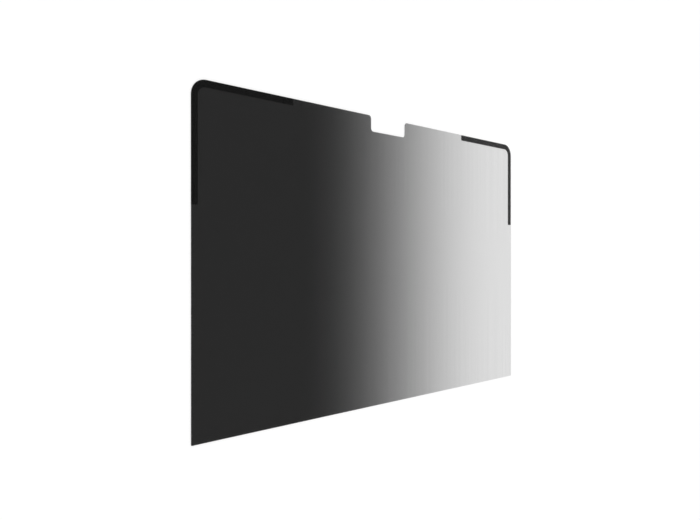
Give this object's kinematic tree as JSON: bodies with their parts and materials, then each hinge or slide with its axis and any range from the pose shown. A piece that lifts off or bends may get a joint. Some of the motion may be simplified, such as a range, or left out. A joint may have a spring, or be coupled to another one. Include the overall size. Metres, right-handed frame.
{
  "type": "laptop privacy filter",
  "caption": "Thin see-through louvre film for a laptop screen, with rounded upper corners, a camera notch and L-shaped magnet strips behind the upper corners.",
  "frame": {"origin": "centre of the filter's footprint, on the surface it lies on", "axes": "+X along the width, to the right as seen from the front; +Y up the height, towards the camera notch; +Z out of the front face"},
  "size_m": [0.35, 0.23, 0.0007],
  "materials": {
    "louvre_film": "smooth anti-glare film, see-through, dense on the left and clearing to the right",
    "magnet_strip": "matte charcoal flexible magnet"
  },
  "bodies": {
    "root": {"privacy_film": "louvre_film", "left_magnet_strip": "magnet_strip", "right_magnet_strip": "magnet_strip"}
  },
  "joints": []
}
